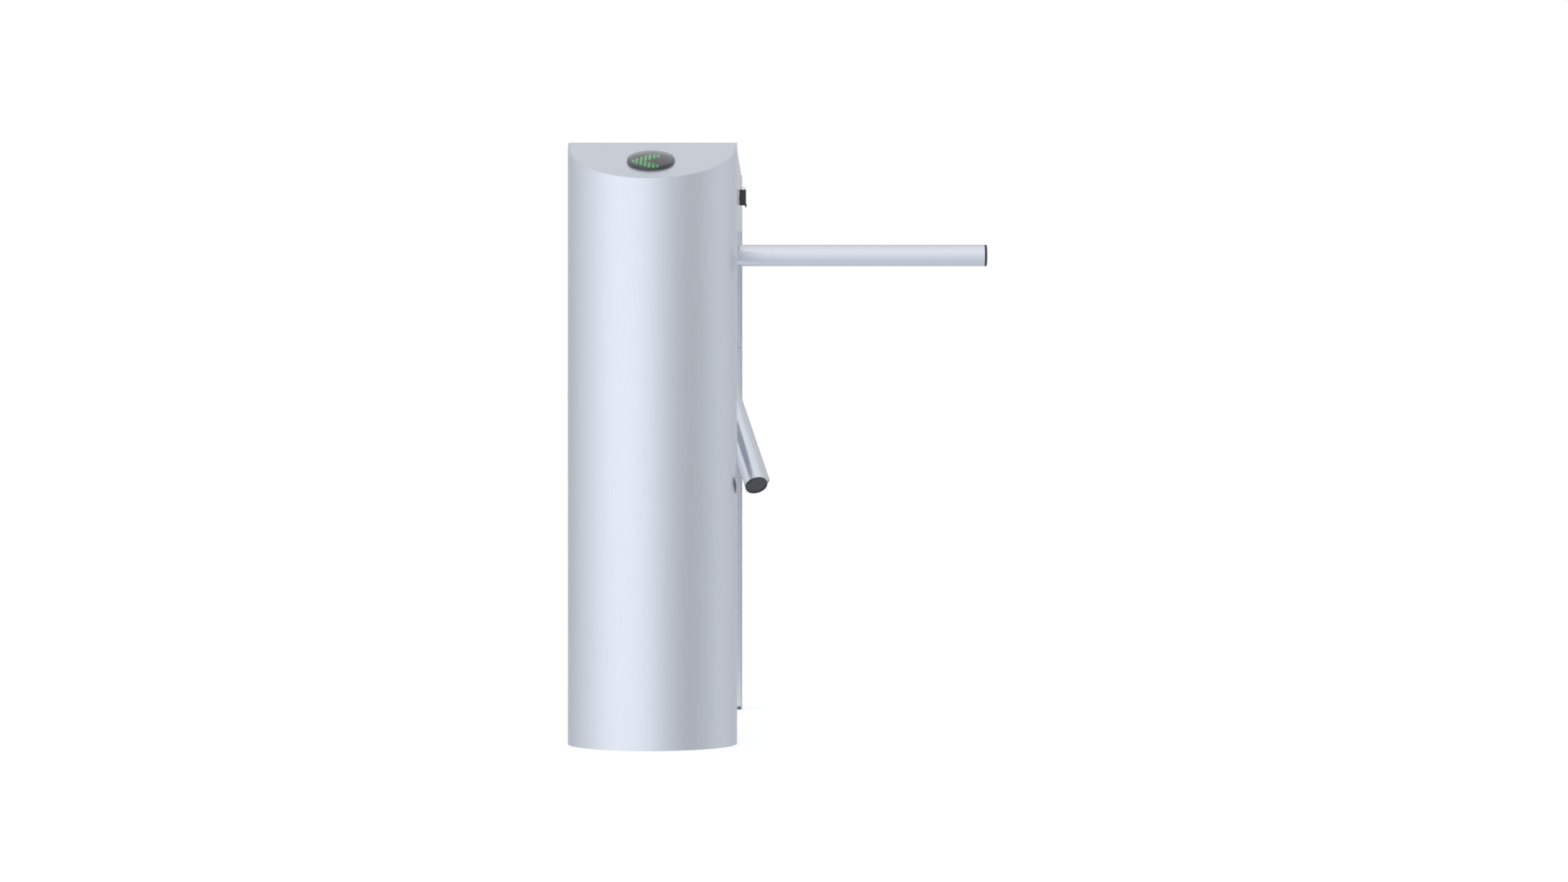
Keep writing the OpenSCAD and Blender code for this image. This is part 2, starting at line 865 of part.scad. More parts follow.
module bearing_housing() {
    color("#7f858b") on_axis() difference() {
        union() {
            translate([0, 0, z_housing]) cylinder(r = housing_r, h = housing_l);
            translate([0, 0, z_front - flange_t]) cylinder(r = housing_flange_r, h = flange_t);
        }
        translate([0, 0, z_housing - cut]) cylinder(r = housing_bore, h = housing_l + 2 * cut);
        translate([0, 0, z_front - bearing_w])
            cylinder(r = bearing_r + fit, h = bearing_w + cut);
        translate([0, 0, z_housing - cut]) cylinder(r = bearing_r + fit, h = bearing_w + cut);
        translate([0, 0, z_front - flange_t - cut]) flange_bolt_places()
            cylinder(r = flange_bolt_r + bolt_gap, h = flange_t + 2 * cut);
    }
}

ball_share = 0.29;
race_share = 0.32;
ball_pitch = (shaft_r + bearing_r) / 2;
ball_r = (bearing_r - shaft_r) * ball_share;
race_t = (bearing_r - shaft_r) * race_share;
ball_count = 9;

module bearing_places() {
    on_axis() for (z = [z_front - bearing_w / 2, z_housing + bearing_w / 2])
        translate([0, 0, z]) children();
}

module groove() {
    rotate_extrude() translate([ball_pitch, 0]) circle(r = ball_r + fit, $fn = 48);
}

module race(ro, ri) {
    difference() {
        translate([0, 0, -bearing_w / 2]) ring(ro, ri, bearing_w);
        groove();
    }
}

module main_shaft() {
    color("#a9adb3") on_axis() difference() {
        union() {
            translate([0, 0, z_housing]) cylinder(r = shaft_r, h = shaft_front - z_housing);
            translate([0, 0, z_housing + bearing_w])
                cylinder(r = shaft_r + shoulder, h = housing_l - 2 * bearing_w);
            translate([0, 0, z_shaft_end]) cylinder(r = rear_r, h = z_housing - z_shaft_end + cut);
        }
        translate([0, 0, shaft_front - hub_bolt_l]) cylinder(r = hub_bolt_r + fit, h = hub_bolt_l + cut);
        hub_key(fit);
        gear_key(fit);
    }
}

// The keys between the shaft and the hub, and between the shaft and the gear
module hub_key(e) {
    translate([shaft_r - shaft_key_t / 2 - e, -shaft_key_b / 2 - e, hub_z + hub_key_start - e])
        cube([shaft_key_t + 2 * e, shaft_key_b + 2 * e, hub_key_l + 2 * e]);
}

module gear_key(e) {
    translate([rear_r - shaft_key_t / 2 - e, -shaft_key_b / 2 - e, z_gear + (gear_w - gear_key_l) / 2 - e])
        cube([shaft_key_t + 2 * e, shaft_key_b + 2 * e, gear_key_l + 2 * e]);
}

module gear_plate() {
    color(plate_grey) on_axis() difference() {
        translate([-plate_x, -plate_y, z_gear_plate]) cube([2 * plate_x, 2 * plate_y, plate_t]);
        translate([0, 0, z_gear_plate - cut]) {
            cylinder(r = coil_bore, h = plate_t + 2 * cut);
            for (y = [-gear_dist, gear_dist]) translate([0, y, 0])
                cylinder(r = pinion_boss_r + bolt_gap, h = plate_t + 2 * cut);
            pillar_places() cylinder(r = stud_r + fit, h = plate_t + 2 * cut);
            brake_pillar_places() cylinder(r = stud_r + fit, h = plate_t + 2 * cut);
        }
    }
}

module pillars() {
    color(zinc) on_axis() {
        pillar_places() {
            translate([0, 0, z_gear_plate + plate_t])
                cylinder(r = pillar_r, h = z_front - z_gear_plate - plate_t);
            translate([0, 0, z_gear_plate - pillar_nut_h])
                cylinder(r = stud_r, h = z_front + plate_t - seat - z_gear_plate + pillar_nut_h);
        }
        brake_pillar_places() {
            translate([0, 0, z_bracket + bracket_t])
                cylinder(r = brake_pillar_r, h = z_gear_plate - z_bracket - bracket_t);
            translate([0, 0, z_bracket - pillar_nut_h])
                cylinder(r = stud_r, h = z_gear_plate + plate_t - seat - z_bracket + pillar_nut_h);
        }
    }
}

module pillar_nut() {
    difference() {
        cylinder(r = pillar_nut_r, h = pillar_nut_h, $fn = 6);
        translate([0, 0, -cut]) cylinder(r = stud_r + fit, h = pillar_nut_h + 2 * cut);
    }
}

module pillar_nuts() {
    color(zinc) on_axis() {
        pillar_places() translate([0, 0, z_gear_plate - pillar_nut_h]) pillar_nut();
        brake_pillar_places() translate([0, 0, z_bracket - pillar_nut_h]) pillar_nut();
    }
}

// Gear teeth: involute flanks, thinned by the backlash
function involute(a) = tan(a) * 180 / PI - a;
function flank(n, r) =
    let(rp = gear_m * n / 2, rb = rp * cos(pressure))
    90 / n + involute(pressure) - involute(r > rb ? acos(rb / r) : 0) - backlash / rp * 180 / PI;
function tooth(n) =
    let(rp = gear_m * n / 2, rb = rp * cos(pressure), rr = rp - 1.25 * gear_m, ra = rp + gear_m,
        low = max(rb, rr), rs = [for (i = [0:3]) low + (ra - low) * i / 3])
    concat(low > rr ? [[rr, -flank(n, low)]] : [], [for (r = rs) [r, -flank(n, r)]],
        [for (i = [3:-1:0]) [rs[i], flank(n, rs[i])]], low > rr ? [[rr, flank(n, low)]] : []);

module teeth(n, h) {
    one = tooth(n);
    linear_extrude(h) polygon([for (i = [0:n - 1]) for (p = one)
        let(a = i * 360 / n + p[1]) p[0] * [cos(a), sin(a)]]);
}

module main_gear() {
    color("#8f8a7a") on_axis() difference() {
        union() {
            translate([0, 0, z_gear]) rotate([0, 0, 90]) teeth(gear_teeth, gear_w);
            translate([0, 0, z_gear]) cylinder(r = rear_r + boss_wall, h = z_housing - z_gear);
        }
        translate([0, 0, z_gear - cut]) cylinder(r = rear_r + fit, h = z_housing - z_gear + 2 * cut);
        for (a = [30:60:330]) rotate([0, 0, a])
            translate([(rear_r + gear_pitch) / 2, 0, z_gear - cut])
                cylinder(r = (gear_pitch - rear_r) / 4, h = gear_w + 2 * cut);
        gear_key(fit);
    }
}

module encoder_disc() {
    color(dark) on_axis() difference() {
        union() {
            translate([0, 0, z_disc]) cylinder(r = disc_r, h = disc_t);
            translate([0, 0, z_armature + armature_t])
                cylinder(r = rear_r + boss_wall, h = z_gear - z_armature - armature_t);
        }
        translate([0, 0, z_armature]) cylinder(r = rear_r + fit, h = z_gear - z_armature + cut);
        for (i = [0:disc_slots - 1]) rotate([0, 0, (i + 0.5) * 360 / disc_slots])
            translate([disc_r - disc_edge - slot_l, -slot_w / 2, z_disc - cut])
                cube([slot_l, slot_w, disc_t + 2 * cut]);
    }
}

module encoder_sensor() {
    foot = z_bracket + bracket_t;
    color("#22252a") on_axis() difference() {
        translate([-sensor_w / 2, sensor_in, foot])
            cube([sensor_w, sensor_out - sensor_in, z_disc + disc_t + sensor_gap + sensor_arm - foot]);
        translate([-sensor_w / 2 - cut, sensor_in - cut, z_disc - sensor_gap])
            cube([sensor_w + 2 * cut, disc_r + sensor_gap + cut - sensor_in, disc_t + 2 * sensor_gap]);
    }
}

module brake_armature() {
    color("#6f757c") on_axis() difference() {
        translate([0, 0, z_armature]) cylinder(r = armature_r, h = armature_t);
        translate([0, 0, z_armature - cut]) cylinder(r = rear_r + fit, h = armature_t + 2 * cut);
    }
}

module retaining_ring() {
    on_axis() translate([0, 0, z_armature - ring_t]) ring(rear_r + shoulder, rear_r + fit, ring_t);
}

module brake_coil() {
    color("#2f4a6e") on_axis() translate([0, 0, z_coil]) ring(coil_r, coil_bore, coil_l);
}

module brake_bracket() {
    color(plate_grey) on_axis() difference() {
        translate([-bracket_x, -bracket_y, z_bracket]) cube([2 * bracket_x, 2 * bracket_y, bracket_t]);
        translate([0, 0, z_bracket - cut]) {
            cylinder(r = coil_bore, h = bracket_t + 2 * cut);
            brake_pillar_places() cylinder(r = stud_r + fit, h = bracket_t + 2 * cut);
        }
    }
}

// A motor or a damper on the gear plate, with a bored nose for its shaft
module drive_body(r, l) {
    difference() {
        union() {
            translate([0, 0, z_gear_plate + plate_t]) cylinder(r = r, h = l);
            translate([0, 0, z_gear_plate + plate_t + l]) cylinder(r = r * nose_share, h = nose_t);
            translate([0, 0, z_gear_plate + plate_t * (1 - spigot_share)])
                cylinder(r = pinion_boss_r, h = plate_t);
        }
        translate([0, 0, z_gear_plate - cut])
            cylinder(r = pinion_shaft_r + fit, h = plate_t + l / 2 + cut);
    }
}

module drive_motor() {
    color("#2b2e33") on_axis() translate([0, gear_dist, 0]) drive_body(motor_r, motor_l);
}

module damper() {
    color("#6b6f75") on_axis() translate([0, -gear_dist, 0]) drive_body(damper_r, damper_l);
}

// A pinion on its shaft, with a gap between teeth that faces the main gear on its -Y side
module pinion(shaft_l) {
    translate([0, 0, z_gear]) rotate([0, 0, 90 + (pinion_teeth % 2 == 0 ? 180 / pinion_teeth : 0)])
        teeth(pinion_teeth, gear_w);
    translate([0, 0, z_gear + gear_w - cut]) cylinder(r = pinion_boss_r, h = pinion_boss_l + cut);
    translate([0, 0, z_gear - shaft_stub])
        cylinder(r = pinion_shaft_r, h = gear_w + shaft_stub + shaft_l);
}

module motor_pinion() {
    color("#b8a36a") on_axis() translate([0, gear_dist, 0]) pinion(plate_t + motor_l / 2);
}

module damper_pinion() {
    color("#b8a36a") on_axis() translate([0, -gear_dist, 0]) mirror([0, 1, 0])
        pinion(plate_t + damper_l / 2);
}

// Hub and arms

module hub() {
    color(steel) difference() {
        on_axis() rotate_extrude($fn = 180)
            polygon([[0, hub_z], [hub_r, hub_z], [hub_r, hub_cone_z], [hub_nose_r, hub_nose_z],
                [0, hub_nose_z]]);
        on_axis() {
            translate([0, 0, hub_z - cut]) cylinder(r = shaft_r + fit, h = recess_z - hub_z + 2 * cut);
            translate([0, 0, recess_z]) cylinder(r = recess_r, h = hub_nose_z - recess_z + cut);
            hub_key(fit);
        }
        for (a = arm_angles) on_arm(a) {
            translate([0, 0, socket_s]) cylinder(r = arm_r + fit, h = arm_reach);
            cylinder(r = arm_bolt_r + bolt_gap, h = socket_s + cut);
            cylinder(r = arm_head_r + bolt_gap, h = arm_seat_s);
        }
    }
}

module hub_bolt() {
    color(zinc) on_axis() {
        translate([0, 0, recess_z]) ring(washer_r, hub_bolt_r + fit, washer_t);
        translate([0, 0, recess_z + washer_t])
            hex_bolt(hub_bolt_r, hub_bolt_head_r, hub_bolt_head_h, washer_t + hub_bolt_l - hub_bolt_short);
    }
}

module hub_nose_cap() {
    r = recess_r - fit;
    color(steel) on_axis() rotate_extrude()
        polygon([[0, hub_nose_z + cap_flange_t], [recess_r, hub_nose_z + cap_flange_t],
            [recess_r + cap_flange, hub_nose_z + cap_flange_t * cap_edge_share],
            [recess_r + cap_flange, hub_nose_z],
            [r, hub_nose_z], [r, hub_nose_z - cap_plug_l], [r - cap_wall, hub_nose_z - cap_plug_l],
            [r - cap_wall, hub_nose_z], [0, hub_nose_z]]);
}

module arm(a) {
    color(steel) on_arm(a) translate([0, 0, arm_start])
        ring(arm_r, arm_r - arm_wall, arm_end - arm_start);
}

module arm_fastening() {
    color(zinc) for (a = arm_angles) on_arm(a) {
        translate([0, 0, arm_start])
            ring(arm_r - arm_wall - fit, arm_bolt_r + fit, insert_l);
        translate([0, 0, arm_seat_s]) mirror([0, 0, 1])
            socket_screw(arm_bolt_r, arm_head_r, arm_head_h, arm_web + insert_l - arm_bolt_short);
    }
}

// An end cap: a plug in the tube, and a rim with a rounded edge round a recessed face
module arm_cap() {
    plug = arm_r - arm_wall - fit;
    edge = cap_rim / 3;
    rotate_extrude() difference() {
        union() {
            translate([0, -cap_depth]) square([plug, cap_depth + cap_rim / 2]);
            square([arm_r, cap_rim - edge]);
            square([arm_r - edge, cap_rim]);
            translate([arm_r - edge, cap_rim - edge]) circle(r = edge, $fn = 32);
        }
        translate([0, cap_rim - cap_recess]) square([arm_r - cap_lip, cap_recess + cut]);
        translate([0, -cap_depth - cut]) square([plug - arm_wall, cap_depth + cut]);
    }
}

// Indicators, in the frame of the slanted top plate

// Profile of the dome, moved inwards by e: an upright edge, a rounded shoulder and a shallow cap that
// runs on from the shoulder without a corner
module dome_profile(e) {
    in_r = lens_r - lens_shoulder;
    rise = dome_h - lens_edge;
    ball = (in_r * in_r + rise * rise - lens_shoulder * lens_shoulder) / (2 * (rise - lens_shoulder));
    square([lens_r - e, lens_edge]);
    translate([in_r, lens_edge]) circle(r = lens_shoulder - e);
    intersection() {
        translate([0, dome_h - ball]) circle(r = ball - e, $fn = 256);
        square([in_r * (ball - e) / (ball - lens_shoulder), dome_h]);
    }
}

module lens() {
    difference() {
        rotate_extrude() {
            dome_profile(0);
            translate([0, -sheet - seat]) square([lens_r, sheet + seat]);
            translate([0, -sheet - lens_wall]) square([lamp_r, lens_wall - fit]);
        }
        translate([0, 0, -sheet - lens_wall - cut])
            cylinder(r = lens_r - lens_wall, h = sheet + lens_wall + cut + lens_edge);
        rotate_extrude() dome_profile(lens_wall);
    }
}

// Cup under the top plate, with posts that carry the lamp board
module lamp_housing() {
    base = -sheet - lens_wall;
    translate([0, 0, base - lamp_depth]) {
        cylinder(r = lamp_r, h = lens_wall);
        ring(lamp_r, lamp_r - lamp_wall, lamp_depth);
        for (a = [90, 210, 330]) rotate([0, 0, a]) translate([lens_r * post_share, 0, 0])
            cylinder(r = standoff_r, h = lamp_depth - base - board_t);
    }
}

module lamp_board() {
    translate([0, 0, -board_t]) cylinder(r = lens_r - lens_wall - board_play, h = board_t);
}

// Bars of the arrow, standing on the board; the arrow points away from the passage
module bars() {
    for (b = bar_shares) translate([b[0] * lens_r - bar_w / 2, 0, 0])
        if (b[1] == 0) translate([0, -b[2] * lens_r, 0]) cube([bar_w, 2 * b[2] * lens_r, bar_h]);
        else for (s = [0, 1]) mirror([0, s, 0])
            translate([0, b[1] * lens_r, 0]) cube([bar_w, (b[2] - b[1]) * lens_r, bar_h]);
}

// Electronics, drawn for the rear pedestal

module tray() {
    color(zinc) {
        translate([-tray_half - sheet, tray_y, tray_z0])
            cube([2 * (tray_half + sheet), sheet, tray_h]);
        for (s = [0, 1]) mirror([s, 0, 0]) translate([tray_half, post_back, tray_z0])
            cube([sheet, tray_y - post_back + cut, tray_h]);
    }
}

// A box standing out from the tray's back, off its surface by the gap
module on_tray(x, z, w, d, h, gap) {
    translate([x - w / 2, tray_y - gap - d, z]) cube([w, d, h]);
}

// Board on standoffs in the front pedestal, with its transformer, relays, chips and plug strips
module control_board() {
    front() board();
}

// A component of the given size on the board's face, centred on x
module on_board(x, share, size) {
    on_tray(x, board_z + board_h * share, size[0], size[1], size[2], standoff_l + pcb_t);
}

module board() {
    color("#1e5a3a") on_tray(0, board_z, board_w, pcb_t, board_h, standoff_l);
    color(zinc) for (x = [-1, 1], z = [2 * standoff_r, board_h - 2 * standoff_r])
        translate([x * (board_w / 2 - 2 * standoff_r), tray_y, board_z + z])
            rotate([90, 0, 0]) cylinder(r = standoff_r, h = standoff_l);
    color(dark) {
        on_board(-board_w / 4, transformer_share, transformer);
        for (i = [0:relay_count - 1]) on_board((i + 0.5) * relay_pitch, relay_share, relay);
        on_board(0, chip_share, chip);
        on_board(-board_w / 3, chip_share, driver_chip);
    }
    color(green) for (share = strip_shares)
        on_board(0, share, [board_w * strip_w_share, strip_d, strip_h]);
}

// Power supply with a vented case
module power_supply() {
    color(zinc) difference() {
        on_tray(0, psu_z, psu_w, psu_d, psu_h, 0);
        for (i = [0:psu_slots - 1]) translate([0, 0, (i + 0.5) * psu_h / psu_slots - psu_slot / 2])
            on_tray(0, psu_z, psu_w * psu_slot_share, psu_d, psu_slot, 2 * psu_slot);
    }
}

// The nodes

module pair() {
    front() children();
    children();
}

module front_shell() { front() shell(); }
module rear_shell() { shell(); }
module service_panels() { pair() service_panel(); }
module end_walls() { pair() end_wall(); }
module front_top_plate() { front() top_plate(); }
module rear_top_plate() { top_plate(); }
module base_plates() { pair() base_plate(); }
module pedestal_frames() { pair() frame(); }
module cable_grommets() { color(dark) pair() grommet(); }
module bridge_ends() { pair() bridge_end(); }
module bridge_bolts() { color(zinc) pair() bridge_bolt_set(); }

module cover_screws() {
    color(zinc) pair() panel_screw_set();
    color(zinc) on_axis() face_screw_places() translate([0, 0, apex_back])
        socket_screw(face_screw_r, face_screw_head_r, face_screw_head_h, sheet + plate_t);
}

module lid_hinge_leaves() { color(zinc) at_hinges() lid_leaf(); }
module body_hinge_leaves() { color(zinc) at_hinges() body_leaf(); }

module hinge_pins() {
    color(zinc) at_hinges() translate([hinge_x, -hinge_l / 2, hinge_z]) rotate([-90, 0, 0]) {
        cylinder(r = hinge_pin_r, h = hinge_l);
        for (z = [-leaf_t / 2, hinge_l]) translate([0, 0, z])
            cylinder(r = hinge_r - seat, h = leaf_t / 2);
    }
}

module bearing_outer_rings() {
    color("#a4a8ad") bearing_places() race(bearing_r, bearing_r - race_t);
}

module bearing_inner_rings() {
    color("#a4a8ad") bearing_places() race(shaft_r + race_t, shaft_r + fit);
}

module bearing_balls() {
    color("#d5d8dc") bearing_places() for (i = [0:ball_count - 1])
        rotate([0, 0, i * 360 / ball_count]) translate([ball_pitch, 0, 0]) sphere(r = ball_r);
}

module shaft_seal() {
    color("#1d1f22") on_axis() translate([0, 0, z_front + 2 * seat])
        ring(seal_r - fit, shaft_r + seat, plate_t - 2 * seat);
}

module shaft_hardware() {
    color(zinc) {
        on_axis() hub_key(0);
        on_axis() gear_key(0);
        retaining_ring();
    }
}

module arm_top() { arm(arm_angles[0]); }
module arm_front() { arm(arm_angles[1]); }
module arm_rear() { arm(arm_angles[2]); }
module arm_caps() { color(dark) for (a = arm_angles) on_arm(a) translate([0, 0, arm_end]) arm_cap(); }
module indicator_lenses() { color("#4a4d52") pair() on_lens() lens(); }
module lamp_housings() { color(dark) pair() on_lens() lamp_housing(); }
module lamp_boards() { color("#2a2d31") pair() on_lens() lamp_board(); }
module arrow_bars() { color(green) pair() on_lens() bars(); }
module equipment_trays() { pair() tray(); }

front_shell();
rear_shell();
service_panels();
end_walls();
front_top_plate();
rear_top_plate();
base_plates();
pedestal_frames();
cable_grommets();
bridge_shell();
bridge_ends();
bridge_bolts();
cover_screws();
lid();
lid_catch();
lid_hinge_leaves();
body_hinge_leaves();
hinge_pins();
lock_barrel();
lock_plug();
lock_cam();
key();
key_ring();
mechanism_plate();
housing_screws();
bearing_housing();
bearing_outer_rings();
bearing_inner_rings();
bearing_balls();
shaft_seal();
main_shaft();
shaft_hardware();
gear_plate();
pillars();
pillar_nuts();
main_gear();
encoder_disc();
encoder_sensor();
brake_armature();
brake_coil();
brake_bracket();
drive_motor();
motor_pinion();
damper();
damper_pinion();
hub();
hub_bolt();
hub_nose_cap();
arm_top();
arm_front();
arm_rear();
arm_fastening();
arm_caps();
indicator_lenses();
lamp_housings();
lamp_boards();
arrow_bars();
equipment_trays();
control_board();
power_supply();
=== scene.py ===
import bpy
import bmesh
import json
import math
from mathutils import Matrix, Vector

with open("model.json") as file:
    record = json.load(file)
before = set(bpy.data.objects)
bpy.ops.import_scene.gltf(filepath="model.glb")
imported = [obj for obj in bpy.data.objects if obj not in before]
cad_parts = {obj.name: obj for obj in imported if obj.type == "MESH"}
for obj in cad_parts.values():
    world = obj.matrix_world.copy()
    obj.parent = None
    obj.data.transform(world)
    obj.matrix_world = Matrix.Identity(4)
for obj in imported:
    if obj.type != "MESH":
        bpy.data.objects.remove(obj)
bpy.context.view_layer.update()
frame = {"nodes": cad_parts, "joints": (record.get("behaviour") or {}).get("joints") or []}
scene = bpy.context.scene
nodes = frame["nodes"]


# Frames for the grain: upright, the rotor's axis and the three arms

UP = Matrix.Identity(4)
ARM_TILT = 45       # degrees between an arm and the rotor's axis
ARM_ANGLES = {"arm_top": 180, "arm_front": 60, "arm_rear": 300}     # degrees round the rotor's axis

rotor = next(joint for joint in frame["joints"] if joint["name"] == "rotor_turn")
outward = Vector(rotor["axis"])
AXIS = Matrix.Translation(rotor["pos_m"]) @ Matrix.Rotation(math.atan2(outward.x, outward.z), 4, "Y")


def arm_frame(angle):
    turn = Matrix.Rotation(math.radians(angle), 4, "Z")
    return AXIS @ turn @ Matrix.Rotation(math.radians(ARM_TILT), 4, "Y")


# Camera, level, facing the front pedestal from a little to its right

CAM_PLACE = (0.2179, -6.042, 0.5013)    # metres
CAM_LENS = 78.66                        # mm
CAM_SENSOR = 36                         # mm
CAM_TURN = (math.radians(90), 0, 0)     # looks along Y

cam = bpy.data.cameras.new("camera")
cam.sensor_width = CAM_SENSOR
cam.lens = CAM_LENS
cam_obj = bpy.data.objects.new("camera", cam)
cam_obj.location = CAM_PLACE
cam_obj.rotation_euler = CAM_TURN
scene.collection.objects.link(cam_obj)
scene.camera = cam_obj


# Shader helpers

MIX_A, MIX_B, MIX_RESULT = 6, 7, 2      # a Mix node's sockets for colours
NOISE_LOW, NOISE_HIGH = 0.3, 0.7        # most of a noise lies between these
BEVEL_SAMPLES = 4


class Look:
    """A node tree under construction, of a material or of the world."""

    def __init__(self, block, output="ShaderNodeOutputMaterial", place=UP):
        self.block = block
        block.use_nodes = True
        self.tree = block.node_tree
        self.tree.nodes.clear()
        self.out = self.node(output)
        self.place = place
        self.own = None

    def node(self, kind, **values):
        n = self.tree.nodes.new(kind)
        for key, value in values.items():
            setattr(n, key, value)
        return n

    def put(self, socket, value):
        if isinstance(value, bpy.types.NodeSocket):
            self.tree.links.new(value, socket)
        else:
            socket.default_value = value

    def math(self, op, a, b=0.0, c=None, clamp=False):
        n = self.node("ShaderNodeMath", operation=op, use_clamp=clamp)
        self.put(n.inputs[0], a)
        self.put(n.inputs[1], b)
        if c is not None:
            self.put(n.inputs[2], c)
        return n.outputs[0]

    def at(self, scale):
        """Coordinates in the piece's own frame, times a scale for each axis."""
        if self.own is None:
            c = self.node("ShaderNodeTexCoord")
            m = self.node("ShaderNodeMapping", vector_type="TEXTURE")
            self.put(m.inputs["Vector"], c.outputs["Object"])
            self.put(m.inputs["Location"], self.place.to_translation())
            self.put(m.inputs["Rotation"], self.place.to_euler())
            self.own = m.outputs[0]
        m = self.node("ShaderNodeMapping")
        self.put(m.inputs["Vector"], self.own)
        self.put(m.inputs["Scale"], scale)
        return m.outputs[0]

    def turned(self, waves):
        """Coordinates that repeat round the piece's own Z axis, for lathe marks."""
        s = self.node("ShaderNodeSeparateXYZ")
        self.put(s.inputs[0], self.at((1, 1, 1)))
        x, y, z = s.outputs
        xx = self.math("MULTIPLY", x, x)
        r = self.math("SQRT", self.math("MULTIPLY_ADD", y, y, xx))
        c = self.node("ShaderNodeCombineXYZ")
        self.put(c.inputs[0], self.math("MULTIPLY", r, waves))
        self.put(c.inputs[1], self.math("MULTIPLY", z, waves))
        return c.outputs[0]

    def noise(self, waves, detail, rough):
        """Noise with so many waves per metre, along all axes or each, or on given coordinates."""
        if isinstance(waves, (int, float)):
            waves = (waves, waves, waves)
        if isinstance(waves, tuple):
            waves = self.at(waves)
        n = self.node("ShaderNodeTexNoise")
        self.put(n.inputs["Vector"], waves)
        self.put(n.inputs["Scale"], 1.0)
        self.put(n.inputs["Detail"], detail)
        self.put(n.inputs["Roughness"], rough)
        return n.outputs["Fac"]

    def spread(self, value, low, high, from_low=NOISE_LOW, from_high=NOISE_HIGH):
        """The value, from low to high where it goes from from_low to from_high."""
        n = self.node("ShaderNodeMapRange")
        self.put(n.inputs["Value"], value)
        self.put(n.inputs["From Min"], from_low)
        self.put(n.inputs["From Max"], from_high)
        self.put(n.inputs["To Min"], low)
        self.put(n.inputs["To Max"], high)
        return n.outputs[0]

    def mix(self, share, a, b):
        n = self.node("ShaderNodeMix", data_type="RGBA")
        self.put(n.inputs[0], share)
        self.put(n.inputs[MIX_A], a)
        self.put(n.inputs[MIX_B], b)
        return n.outputs[MIX_RESULT]

    def bump(self, height, strength, depth, edge=0.0):
        """Relief so deep, on edges softened by a radius."""
        n = self.node("ShaderNodeBump")
        self.put(n.inputs["Strength"], strength)
        self.put(n.inputs["Distance"], depth)
        self.put(n.inputs["Height"], height)
        if edge:
            b = self.node("ShaderNodeBevel", samples=BEVEL_SAMPLES)
            self.put(b.inputs["Radius"], edge)
            self.put(n.inputs["Normal"], b.outputs[0])
        return n.outputs[0]

    def principled(self, **values):
        b = self.node("ShaderNodeBsdfPrincipled")
        for key, value in values.items():
            self.put(b.inputs[key.replace("_", " ")], value)
        return b.outputs[0]

    def background(self, colour, strength):
        b = self.node("ShaderNodeBackground")
        self.put(b.inputs["Color"], colour)
        self.put(b.inputs["Strength"], strength)
        return b.outputs[0]

    def either(self, share, a, b):
        n = self.node("ShaderNodeMixShader")
        for socket, value in zip(n.inputs, (share, a, b)):
            self.put(socket, value)
        return n.outputs[0]

    def seen(self, path):
        """1 for the camera and through clear plastic, 0 for light and reflections."""
        return self.math("MAXIMUM", path.outputs["Is Camera Ray"], path.outputs["Is Transmission Ray"])

    def finish(self, shader):
        self.put(self.out.inputs["Surface"], shader)
        return self.block


def material(name, place=UP):
    return Look(bpy.data.materials.new(name), place=place)


def rgb(r, g, b):
    return (r, g, b, 1.0)


def shade(colour, share):
    return rgb(colour[0] * share, colour[1] * share, colour[2] * share)


# Finishes. Lengths are in metres, and noise is in waves per metre

CLOUD = 7           # broad, soft unevenness of brushed metal
SMEAR = 26          # handling marks on it
MARKS = 0.012       # how far both change its tone and roughness


def brushed(name, colour, grain, rough=0.24, vary=0.05, depth=0.00003, edge=0.0007, place=UP):
    """Satin metal: fine streaks, faint handling marks and softened edges.

    The grain is the streaks' noise along each axis, or one number for lathe marks. The streaks
    vary the tone and the roughness. The depth is theirs, and the edge is a radius.
    """
    mat = material(name, place)
    if isinstance(grain, tuple):
        streak = mat.noise(grain, detail=3, rough=0.65)
    else:
        streak = mat.noise(mat.turned(grain), detail=3, rough=0.6)
    cloud = mat.noise(CLOUD, detail=3, rough=0.55)
    smear = mat.noise(SMEAR, detail=4, rough=0.6)
    uneven = mat.math("MULTIPLY_ADD", cloud, 0.5, mat.math("MULTIPLY", smear, 0.5))
    tone = mat.mix(mat.spread(streak, 0.0, 1.0), shade(colour, 1 - vary), shade(colour, 1 + vary))
    tone = mat.mix(mat.spread(uneven, 0.0, 0.5), tone, shade(colour, 1 - MARKS))
    level = mat.spread(uneven, rough - MARKS, rough + MARKS)
    level = mat.math("ADD", level, mat.spread(streak, -vary / 3, vary / 3))
    relief = mat.bump(streak, strength=0.5, depth=depth, edge=edge)
    return mat.finish(mat.principled(Base_Color=tone, Metallic=1.0, Roughness=level, Normal=relief))


def paint(name, colour, rough, peel=900, depth=0.00012, coat=0.0):
    """Paint or powder coat with orange peel, dust and rubbed patches."""
    mat = material(name)
    cloud = mat.noise(11, detail=4, rough=0.6)
    tone = mat.mix(mat.spread(cloud, 0.0, 1.0), shade(colour, 0.9), shade(colour, 1.12))
    level = mat.spread(cloud, rough - 0.05, rough + 0.08)
    relief = mat.bump(mat.noise(peel, detail=2, rough=0.5), strength=0.4, depth=depth, edge=0.0006)
    return mat.finish(mat.principled(Base_Color=tone, Roughness=level, Coat_Weight=coat, Normal=relief))


